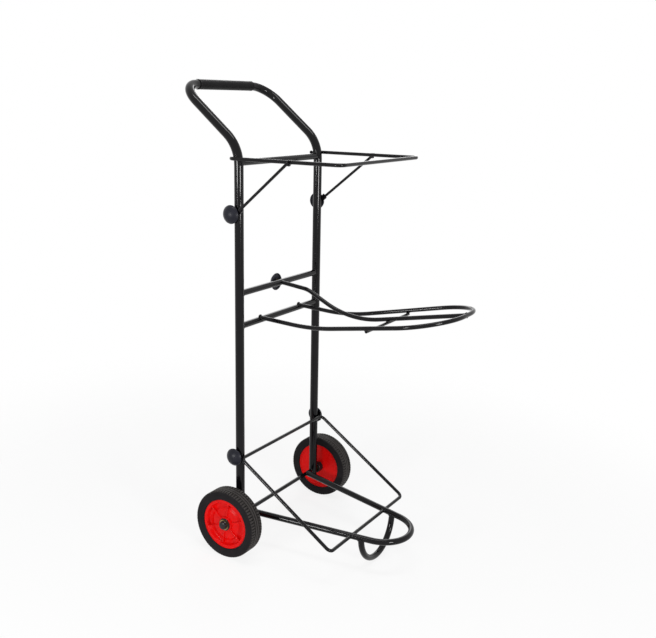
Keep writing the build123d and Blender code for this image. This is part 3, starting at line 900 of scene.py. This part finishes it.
@dataclass
class ShelfFrame(WeldedAssembly):
    """The rod shelf, hooked round the uprights, and its two braces."""

    nodes: tuple[str, ...] = ("shelf_frame", "left_brace", "right_brace")
    weld_name: str = "shelf_weld_beads"
    half_width: float = 216.2 * MM
    height: float = 1028.0 * MM
    brace_front: float = 176.0 * MM
    rod_radius: float = 5.0 * MM
    seam_rise: float = 3.5 * MM
    seam_half: float = 9.0 * MM
    seam_bead: float = 1.8 * MM
    lump_back: float = 2.0 * MM
    lump_drop: float = 6.0 * MM
    lump_half: float = 6.0 * MM
    lump_bead: float = 4.0 * MM

    def beads(self) -> list[Bead]:
        """Weld the braces to the shelf's sides, with a seam above and below and a lump under them.

        Returns:
            The beads.
        """
        made: list[Bead] = []
        for side in Side:
            x = side.value * (self.half_width + self.rod_radius)
            meeting = Vector((x, -self.brace_front, self.height))
            for way in (-1, 1):
                seam = meeting + UP * (way * self.seam_rise)
                made.append(WeldRun.about(seam, BACK * self.seam_half, self.seam_bead))
            lump = meeting + BACK * self.lump_back - UP * self.lump_drop
            made.append(WeldRun.about(lump, BACK * self.lump_half, self.lump_bead))
        return made


@dataclass
class SaddleRack(WeldedAssembly):
    """The rack's bent loop, its spine and the rod across under them."""

    nodes: tuple[str, ...] = ("saddle_rack_loop", "saddle_rack_spine", "saddle_rack_cross_rod")
    weld_name: str = "rack_weld_beads"
    rod_radius: float = 6.0 * MM
    crossbar_radius: float = 9.0 * MM
    half_rear: float = 100.0 * MM
    crossbar_height: float = 568.0 * MM
    rise: float = 6.5 * MM
    cross_front: float = 358.0 * MM
    cross_half: float = 124.0 * MM
    nose_front: float = 590.0 * MM
    bend_front: float = 174.0 * MM
    bend_height: float = 566.0 * MM
    climb: float = math.radians(10.7)
    arm_bead: float = 2.6 * MM
    nose_bead: float = 1.9 * MM
    seam_apart: float = 3.0 * MM
    seam_half: float = 4.5 * MM
    seam_bead: float = 1.8 * MM

    def rod_point(self, x: float, front: float) -> Vector:
        """A point on the climbing plane of the rack's rods, at a distance ahead of the uprights."""
        return Vector((x, -front, self.bend_height + (front - self.bend_front) * math.tan(self.climb)))

    def beads(self) -> list[Bead]:
        """Weld the arms to the lower crossbar, the spine to the nose and the cross rod to all three rods.

        Returns:
            The beads.
        """
        made: list[Bead] = []
        for side in Side:
            root = Vector((side.value * self.half_rear, 0.0, self.crossbar_height + self.rise))
            made.append(WeldRing(
                root, -BACK, ACROSS, self.rod_radius, self.crossbar_radius, self.arm_bead, offset=self.rise
            ))
        back_down = Vector((0.0, math.cos(self.climb), -math.sin(self.climb)))
        under = Vector((0.0, -math.sin(self.climb), -math.cos(self.climb)))
        nose = self.rod_point(0.0, self.nose_front)
        made.append(WeldRing(nose, back_down, ACROSS, self.rod_radius, self.rod_radius, self.nose_bead))
        for x in (-self.cross_half, 0.0, self.cross_half):
            touch = self.rod_point(x, self.cross_front) + under * self.rod_radius
            for way in (-1, 1):
                seam = touch + back_down * (way * self.seam_apart)
                made.append(WeldRun.about(seam, ACROSS * self.seam_half, self.seam_bead))
        return made


@dataclass
class CarryingBase(WeldedAssembly):
    """The tapering base with its foot, the stay loop and the lugs under the lower knobs."""

    nodes: tuple[str, ...] = ("base_frame", "foot_loop", "stay_loop", "left_stay_lug", "right_stay_lug")
    weld_name: str = "base_weld_beads"
    tube_radius: float = 9.0 * MM
    half_rear: float = 163.0 * MM
    taper: float = math.radians(11.2)
    drop: float = math.radians(3.55)
    foot_front: float = 347.0 * MM
    foot_bead: float = 2.0 * MM
    stay_front: float = 318.0 * MM
    stay_radius: float = 5.0 * MM
    stay_height: float = 185.0 * MM
    stay_bead: float = 1.7 * MM
    stay_segments: int = 56
    axle_front: float = 4.0 * MM
    axle_half: float = 5.0 * MM
    axle_bead: float = 2.8 * MM
    lug_plane: float = 212.2 * MM
    lug_front: float = 13.0 * MM
    lug_half: float = 8.0 * MM
    lug_bead: float = 1.8 * MM

    def arm(self, side: Side, front: float) -> Vector:
        """A point on the axis of one arm, at a distance ahead of the axle."""
        x = side.value * (self.half_rear - front * math.tan(self.taper))
        return Vector((x, -front, -front * math.tan(self.drop)))

    def beads(self) -> list[Bead]:
        """Weld the foot, the stay and the axle to the base's arms, and the lugs to the stay.

        Returns:
            The beads.
        """
        made: list[Bead] = []
        for side in Side:
            foot = self.arm(side, self.foot_front)
            stay = self.arm(side, self.stay_front)
            along = (stay - self.arm(side, 0.0)).normalized()
            made.append(WeldRing(foot, -UP, along, self.tube_radius, self.tube_radius, self.foot_bead))
            for way in (-1, 1):
                out = ACROSS * way
                made.append(WeldRing(
                    stay, out, along, self.stay_radius, self.tube_radius, self.stay_bead,
                    segments=self.stay_segments,
                ))
                flank = self.arm(side, self.axle_front) + out * self.tube_radius
                made.append(WeldRun.about(flank, UP * self.axle_half, self.axle_bead))
            lug = Vector((side.value * self.lug_plane, -self.lug_front, self.stay_height))
            made.append(WeldRun.about(lug, UP * self.lug_half, self.lug_bead))
        return made


@dataclass
class Wheel:
    """One wheel: a moulded red centre with ribs, a solid tyre with a cut tread, and a flanged hub bush."""

    side: Side
    tyre_radius: float = 99.99 * MM
    tyre_half: float = 24.0 * MM
    rim_radius: float = 73.5 * MM
    rim_half: float = 21.0 * MM
    rim_round: float = 0.8 * MM
    rim_band: float = 9.0 * MM
    band_round: float = 1.6 * MM
    rim_lip: float = 1.5 * MM
    lip_round: float = 0.6 * MM
    dish_depth: float = 11.0 * MM
    dish_wall: float = 4.0 * MM
    dish_round: float = 2.5 * MM
    plateau_radius: float = 44.0 * MM
    plateau_step: float = 7.0 * MM
    plateau_height: float = 5.0 * MM
    plateau_round: float = 3.0 * MM
    centre_steps: int = 160
    rib_count: int = 6
    rib_angle: float = math.radians(20.0)
    rib_thickness: float = 3.5 * MM
    rib_height: float = 8.5 * MM
    rib_sunk: float = 2.0 * MM
    rib_bite: float = 1.0 * MM
    rib_round: float = 1.3 * MM
    rib_round_steps: int = 3
    hub_radius: float = 22.0 * MM
    hub_foot_round: float = 1.0 * MM
    hub_round: float = 1.2 * MM
    bush_radius: float = 16.5 * MM
    bush_round: float = 0.8 * MM
    bush_inner: float = 40.6 * MM
    bush_steps: int = 96
    flange_radius: float = 18.25 * MM
    flange: float = 2.5 * MM
    flange_back_round: float = 0.4 * MM
    flange_round: float = 1.0 * MM
    bore_radius: float = 6.06 * MM
    bore_round: float = 0.5 * MM
    tread_depth: float = 3.0 * MM
    groove: float = 3.0 * MM
    groove_spacing: float = 9.0 * MM
    groove_round: float = 0.5 * MM
    shoulder_round: float = 4.0 * MM
    bead_round: float = 3.0 * MM
    tread_slots: int = 72
    steps_per_slot: int = 5
    slot_steps: int = 2
    slot_margin: float = 0.2 * MM

    @property
    def tyre_steps(self) -> int:
        """How many segments the tyre's spin has."""
        return self.tread_slots * self.steps_per_slot

    @property
    def tread_floor(self) -> float:
        """Radius of the bottom of the tread's grooves and slots."""
        return self.tyre_radius - self.tread_depth

    def build(self, shop: Workshop) -> None:
        """Model the three pieces, settle them on the wheel's joint and hand them over.

        Args:
            shop: The nodes, axes and materials.
        """
        word = self.side.word
        joint = shop.joints[f"{word}_wheel_spin"]
        level = shop.axes.direction(BACK * self.side.value)
        place = frame_along(Vector(joint["pos_m"]), self.side.outwards, level)
        for piece, slot, node in (
            (self.centre(), Slot.RED, "wheel_centre"),
            (self.tyre(), Slot.RUBBER, "tyre"),
            (self.bush(), Slot.HUB, "hub_bush"),
        ):
            settle(piece, place)
            shop.hand_over(piece, joint["child"], slot, f"{word}_{node}")

    def centre(self) -> Piece:
        """Turn the red centre and add its ribs.

        Returns:
            The centre, with its outer face towards X.
        """
        floor = self.rim_half - self.dish_depth
        plateau = floor + self.plateau_height
        inner_face = self.rim_lip - self.rim_half
        band = self.rim_radius - self.rim_band
        lip = self.rim_radius - self.rim_band / 2
        disc = lathe(
            f"{self.side.word}_wheel_red_centre",
            [
                Corner(-self.rim_half, self.rim_radius),
                Corner(self.rim_half, self.rim_radius, self.rim_round),
                Corner(self.rim_half, band, self.band_round),
                Corner(floor, band - self.dish_wall, self.dish_round),
                Corner(floor, self.plateau_radius + self.plateau_step, self.plateau_round),
                Corner(plateau, self.plateau_radius, self.plateau_round),
                Corner(plateau, self.hub_radius, self.hub_foot_round),
                Corner(self.rim_half, self.hub_radius, self.hub_round),
                Corner(self.rim_half, self.bush_radius),
                Corner(inner_face, self.bush_radius),
                Corner(inner_face, lip, self.lip_round),
                Corner(-self.rim_half, lip, self.lip_round),
            ],
            self.centre_steps,
        )
        ribs = self.ribs(floor)
        pick(disc)
        union = disc.modifiers.new("ribs", "BOOLEAN")
        union.operation = "UNION"
        union.solver = "EXACT"
        union.object = ribs
        bpy.ops.object.modifier_apply(modifier=union.name)
        bpy.data.objects.remove(ribs)
        return disc

    def ribs(self, floor: float) -> Piece:
        """Make one rounded rib and set its copies round the hub.

        Args:
            floor: Where the dish's floor is along the axis.

        Returns:
            All the ribs as one object.
        """
        inner = self.hub_radius - self.rib_bite
        outer = self.rim_radius - self.rim_band / 2
        pick()
        bpy.ops.mesh.primitive_cube_add(size=1.0)
        rib = bpy.context.object
        rib.scale = (self.rib_height + self.rib_sunk, outer - inner, self.rib_thickness)
        rib.location = (floor + (self.rib_height - self.rib_sunk) / 2, (outer + inner) / 2, 0.0)
        bpy.ops.object.transform_apply(location=True, rotation=True, scale=True)
        with edit_mode(rib):
            bpy.ops.mesh.bevel(offset=self.rib_round, segments=self.rib_round_steps, affect="EDGES")
        ribs = [rib] + [copy_of(rib, f"rib_{index}") for index in range(1, self.rib_count)]
        for index, twin in enumerate(ribs):
            turn = self.rib_angle + FULL_TURN * index / self.rib_count
            settle(twin, Matrix.Rotation(turn, 4, "X"))
        return join(ribs, "ribs")

    def tyre(self) -> Piece:
        """Turn the tyre with its grooves, then sink the slots in its shoulders.

        Returns:
            The tyre, about the X axis.
        """
        outline = [
            Corner(-self.tyre_half, self.rim_radius, self.bead_round),
            Corner(-self.tyre_half, self.tyre_radius, self.shoulder_round),
        ]
        for index in (-1, 0, 1):
            near = index * self.groove_spacing - self.groove / 2
            far = near + self.groove
            outline += [
                Corner(near, self.tyre_radius, self.groove_round),
                Corner(near, self.tread_floor, self.groove_round),
                Corner(far, self.tread_floor, self.groove_round),
                Corner(far, self.tyre_radius, self.groove_round),
            ]
        outline += [
            Corner(self.tyre_half, self.tyre_radius, self.shoulder_round),
            Corner(self.tyre_half, self.rim_radius, self.bead_round),
        ]
        tyre = lathe(f"{self.side.word}_wheel_tyre", outline, self.tyre_steps)
        with edit_mode(tyre):
            choose_faces(tyre, self.in_slot)
            bpy.ops.mesh.extrude_region()
            mesh = bmesh.from_edit_mesh(tyre.data)
            for vertex in mesh.verts:
                if vertex.select:
                    sink = self.tread_floor / math.hypot(vertex.co.y, vertex.co.z)
                    vertex.co.y *= sink
                    vertex.co.z *= sink
            bmesh.update_edit_mesh(tyre.data)
            close_skin()
        return tyre

    def in_slot(self, middle: Vector) -> bool:
        """Say whether a face of the turned tyre lies in one of the shoulders' slots.

        Args:
            middle: The face's middle.

        Returns:
            True where the face is to be sunk.
        """
        row_start = self.groove_spacing + self.groove / 2
        reach = math.hypot(middle.y, middle.z)
        if reach < self.tread_floor + self.slot_margin or abs(middle.x) < row_start + self.slot_margin:
            return False
        step = int(math.atan2(middle.z, middle.y) / FULL_TURN * self.tyre_steps + self.tyre_steps)
        shift = 0 if middle.x > 0 else self.slot_steps
        return (step + shift) % self.steps_per_slot < self.slot_steps

    def bush(self) -> Piece:
        """Turn the hub bush with its flange.

        Returns:
            The bush, with its flange towards X.
        """
        face = self.rim_half + self.flange
        return lathe(
            f"{self.side.word}_wheel_bush",
            [
                Corner(-self.bush_inner, self.bore_radius, self.bore_round),
                Corner(-self.bush_inner, self.bush_radius, self.bush_round),
                Corner(self.rim_half, self.bush_radius),
                Corner(self.rim_half, self.flange_radius, self.flange_back_round),
                Corner(face, self.flange_radius, self.flange_round),
                Corner(face, self.bore_radius, self.bore_round),
            ],
            self.bush_steps,
        )


@dataclass
class HandKnob:
    """A domed hand knob with a hollow underside, on its joint's axis."""

    name: str
    radius: float = 25.5 * MM
    seat: float = 1.3 * MM      # how far the head stands over the plane that its washer lies on
    seat_radius: float = 23.5 * MM
    seat_round: float = 0.6 * MM
    rim: float = 2.5 * MM
    rim_band: float = 1.2 * MM
    rim_round: float = 0.8 * MM
    height: float = 18.0 * MM
    hollow: float = 3.0 * MM
    hollow_edge: float = 1.5 * MM
    hollow_round: float = 0.4 * MM
    boss_radius: float = 9.5 * MM
    boss_round: float = 0.6 * MM
    bolt_radius: float = 3.05 * MM
    bolt_grip: float = 12.0 * MM
    dome_round: float = 0.5 * MM
    dome_steps: int = 22
    spin_steps: int = 96

    def build(self, shop: Workshop) -> None:
        """Turn the knob, settle it on its joint and dress its bolt.

        Args:
            shop: The nodes, axes and materials.
        """
        joint = shop.joints[f"{self.name}_turn"]
        piece = self.head()
        settle(piece, frame_along(Vector(joint["pos_m"]), Vector(joint["axis"]), shop.axes.direction(UP)))
        shop.hand_over(piece, joint["child"], Slot.KNOB, self.name)
        shop.dress(Slot.ZINC, f"{self.name}_bolt")

    def head(self) -> Piece:
        """Turn the knob's head.

        Returns:
            The head, with the plane that its washer lies on at X = 0 and its dome towards X.
        """
        crown = self.seat + self.height
        rise = crown - (self.seat + self.rim + self.rim_band)
        dome_radius = (self.radius**2 + rise**2) / (2 * rise)
        dome_centre = crown - dome_radius
        edge_turn = math.asin(self.radius / dome_radius)
        bolt_end = self.seat + self.bolt_grip
        hollow_radius = self.seat_radius - self.hollow_edge
        outline = [
            Corner(bolt_end, 0.0),
            Corner(bolt_end, self.bolt_radius),
            Corner(self.seat, self.bolt_radius),
            Corner(self.seat, self.boss_radius, self.boss_round),
            Corner(self.seat + self.hollow, self.boss_radius),
            Corner(self.seat + self.hollow, hollow_radius),
            Corner(self.seat, hollow_radius, self.hollow_round),
            Corner(self.seat, self.seat_radius, self.seat_round),
            Corner(self.seat + self.rim, self.radius, self.rim_round),
        ]
        for step in range(self.dome_steps + 1):
            turn = edge_turn * (1 - step / self.dome_steps)
            outline.append(Corner(
                dome_centre + dome_radius * math.cos(turn),
                dome_radius * math.sin(turn) if step < self.dome_steps else 0.0,
                self.dome_round if step == 0 else 0.0,
            ))
        return lathe(f"{self.name}_head", outline, self.spin_steps, ring=False)


@dataclass
class HandleGrip:
    """The thin matt sleeve over the straight of the top bar, with rolled ends."""

    radius: float = 14.28 * MM
    bar_radius: float = 12.75 * MM
    bar_round: float = 0.4 * MM
    body: float = 13.95 * MM
    body_round: float = 0.6 * MM
    roll: float = 5.0 * MM
    roll_slope: float = 1.0 * MM
    roll_round: float = 0.8 * MM
    spin_steps: int = 72

    def build(self, shop: Workshop) -> None:
        """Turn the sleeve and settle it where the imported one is.

        Args:
            shop: The nodes, axes and materials.
        """
        low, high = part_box("handle_grip")
        half = (high.x - low.x) / 2
        rolled_end = [
            Corner(-half, self.bar_radius, self.bar_round),
            Corner(-half, self.radius, self.roll_round),
            Corner(self.roll - half, self.radius, self.roll_round),
            Corner(self.roll - half + self.roll_slope, self.body, self.body_round),
        ]
        other_end = [Corner(-end.along, end.radius, end.rounding) for end in reversed(rolled_end)]
        sleeve = lathe("handle_sleeve", rolled_end + other_end, self.spin_steps)
        settle(sleeve, Matrix.Translation((low + high) / 2))
        shop.hand_over(sleeve, FRAME_BODY, Slot.SLEEVE, "handle_grip")


@dataclass
class AxleCap:
    """A push-on cap with a domed end, on one end of the axle."""

    side: Side
    radius: float = 13.0 * MM
    rim: float = 1.8 * MM
    rim_round: float = 0.6 * MM
    skirt: float = 11.4 * MM
    skirt_start: float = 2.6 * MM
    skirt_round: float = 0.5 * MM
    bore_radius: float = 6.05 * MM
    wall: float = 1.5 * MM
    dome: float = 3.2 * MM
    spin_steps: int = 72

    def build(self, shop: Workshop) -> None:
        """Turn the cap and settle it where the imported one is.

        Args:
            shop: The nodes, axes and materials.
        """
        node = f"{self.side.word}_axle_cap"
        low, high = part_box(node)
        length = high.x - low.x
        cap = lathe(
            f"{self.side.word}_push_cap",
            [
                Corner(length - self.wall, 0.0),
                Corner(length - self.wall, self.bore_radius),
                Corner(0.0, self.bore_radius),
                Corner(0.0, self.radius, self.rim_round),
                Corner(self.rim, self.radius, self.rim_round),
                Corner(self.skirt_start, self.skirt, self.skirt_round),
                Corner(length, self.skirt, self.dome),
                Corner(length, 0.0),
            ],
            self.spin_steps,
            ring=False,
        )
        root = shop.axes.axle.copy()
        root.x = low.x if self.side is Side.LEFT else high.x
        settle(cap, frame_along(root, self.side.outwards, shop.axes.direction(UP)))
        shop.hand_over(cap, FRAME_BODY, Slot.HUB, node)


# Studio


@dataclass(frozen=True)
class PhotoCamera:
    """The photograph's camera, placed from the middle of the axle."""

    stand: tuple[float, float, float] = (-2.14437, -1.37383, 1.29045)
    azimuth: float = math.radians(-59.8047)
    elevation: float = math.radians(15.9)
    roll: float = math.radians(4.6603)
    lens: float = 49.42
    sensor: float = 36.0

    def build(self, axle: Vector) -> None:
        """Set the camera up and make it the scene's own.

        Args:
            axle: The middle of the axle.
        """
        back = Vector((
            math.sin(self.azimuth) * math.cos(self.elevation),
            -math.cos(self.azimuth) * math.cos(self.elevation),
            math.sin(self.elevation),
        ))
        level = Vector((math.cos(self.azimuth), math.sin(self.azimuth), 0.0))
        upright = back.cross(level)
        right = level * math.cos(self.roll) + upright * math.sin(self.roll)
        turn = Matrix((right, back.cross(right), back)).transposed().to_4x4()
        turn.translation = axle + Vector(self.stand)
        pick()
        bpy.ops.object.camera_add()
        camera = bpy.context.object
        camera.data.lens = self.lens
        camera.data.sensor_width = self.sensor
        camera.matrix_world = turn
        bpy.context.scene.camera = camera


@dataclass(frozen=True)
class SoftBox:
    """A rectangular soft box. Its bearing is in degrees to the right of the camera."""

    name: str
    bearing: float
    distance: float
    height: float
    width: float
    tall: float
    radiance: float

    def build(self, aim: Vector, camera_azimuth: float) -> None:
        """Hang the box and turn it to the trolley's middle.

        Args:
            aim: The point that the box faces.
            camera_azimuth: The camera's azimuth, in radians.
        """
        turn = camera_azimuth + math.radians(self.bearing)
        spot = Vector((math.sin(turn) * self.distance, -math.cos(turn) * self.distance, self.height))
        pick()
        bpy.ops.object.light_add(type="AREA", location=spot)
        lamp = bpy.context.object
        lamp.name = self.name
        lamp.data.shape = "RECTANGLE"
        lamp.data.size = self.width
        lamp.data.size_y = self.tall
        lamp.data.energy = self.radiance * math.pi * self.width * self.tall
        lamp.rotation_euler = (aim - spot).to_track_quat("-Z", "Y").to_euler()
        lamp.visible_camera = False


@dataclass
class Studio:
    """A plain white studio: a pale floor, a white surround and four soft boxes."""

    aim: tuple[float, float, float] = (0.0, -0.15, 0.55)    # in the trolley's axes
    ambient: float = 0.3
    floor_half: float = 4.0
    floor_clear: float = 1.8
    floor_solid: float = 0.7
    floor_share: float = 0.84
    floor_colour: Colour = (0.94, 0.94, 0.94)
    boxes: tuple[SoftBox, ...] = (
        SoftBox("left_box", bearing=-37.0, distance=3.0, height=0.99, width=0.6, tall=0.42, radiance=51.0),
        SoftBox("right_box", bearing=37.0, distance=3.0, height=0.99, width=0.6, tall=0.42, radiance=48.0),
        SoftBox("top_box", bearing=0.0, distance=0.4, height=3.4, width=2.0, tall=0.5, radiance=10.0),
        SoftBox("back_box", bearing=180.0, distance=3.0, height=2.0, width=1.5, tall=1.5, radiance=2.5),
    )

    def build(self, axes: TrolleyAxes, camera: PhotoCamera) -> None:
        """Set up the view, the surround, the floor and the soft boxes.

        Args:
            axes: The trolley's axes.
            camera: The camera that the boxes' bearings start from.
        """
        bpy.context.scene.view_settings.view_transform = "Standard"
        self.surround()
        self.floor()
        for box in self.boxes:
            box.build(axes.point(Vector(self.aim)), camera.azimuth)

    @staticmethod
    def seen(shading: Shading) -> Socket:
        """Tell the rays that show the surround from those that only bring its light.

        Rays from the camera, from a reflection or through a clear piece show it.

        Args:
            shading: The nodes of the floor or the world.

        Returns:
            The socket that is 1 for such rays and 0 for the rest.
        """
        path = shading.node("ShaderNodeLightPath").outputs
        mirrored = shading.math("MAXIMUM", path["Is Camera Ray"], path["Is Glossy Ray"])
        return shading.math("MAXIMUM", mirrored, path["Is Transmission Ray"])

    def surround(self) -> None:
        """Make the world white to look at, and soft as a light."""
        world = bpy.data.worlds.new("white_surround")
        bpy.context.scene.world = world
        world.use_nodes = True
        shading = Shading(world.node_tree)
        level = shading.spread(self.seen(shading), 0.0, 1.0, low=self.ambient, soft=False)
        shading.feed(world.node_tree.nodes["Background"], {"Color": WHITE, "Strength": level})

    def floor(self) -> None:
        """Lay a pale floor that fades into the surround but keeps the trolley's shadow."""
        pick()
        bpy.ops.mesh.primitive_plane_add(size=2 * self.floor_half)
        floor = bpy.context.object
        floor.name = "studio_floor"
        made = bpy.data.materials.new("pale_floor")
        made.use_nodes = True
        nodes = made.node_tree.nodes
        nodes.remove(nodes["Principled BSDF"])
        shading = Shading(made.node_tree)
        paint = shading.node("ShaderNodeBsdfDiffuse", {"Color": rgba(self.floor_colour)})
        glow = shading.node("ShaderNodeEmission", {"Color": WHITE})
        share = shading.math("MULTIPLY", self.seen(shading), self.floor_share)
        lit = shading.node("ShaderNodeMixShader", {"Fac": share, 1: paint.outputs[0], 2: glow.outputs[0]})
        reach = shading.length(shading.node("ShaderNodeTexCoord").outputs["Object"])
        rim = shading.spread(reach, self.floor_solid, self.floor_clear)
        clear = shading.node("ShaderNodeBsdfTransparent")
        fade = shading.node("ShaderNodeMixShader", {"Fac": rim, 1: lit.outputs[0], 2: clear.outputs[0]})
        shading.feed(nodes["Material Output"], {"Surface": fade.outputs[0]})
        floor.data.materials.append(made)


def main() -> None:
    """Build the studio and the trolley's sub-assemblies in order."""
    logging.basicConfig(level=logging.INFO, format="%(name)s: %(message)s")
    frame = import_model()
    shop = Workshop(frame)
    camera = PhotoCamera()
    camera.build(shop.axes.axle)
    Studio().build(shop.axes, camera)
    for assembly in (TubeFrame(), ShelfFrame(), SaddleRack(), CarryingBase(), HandleGrip()):
        assembly.build(shop)
    for name in KNOBS:
        HandKnob(name).build(shop)
    for side in Side:
        Wheel(side).build(shop)
        AxleCap(side).build(shop)
    shop.dress(Slot.ZINC, "knob_washers", "wheel_washers")


if __name__ == "__main__":
    main()
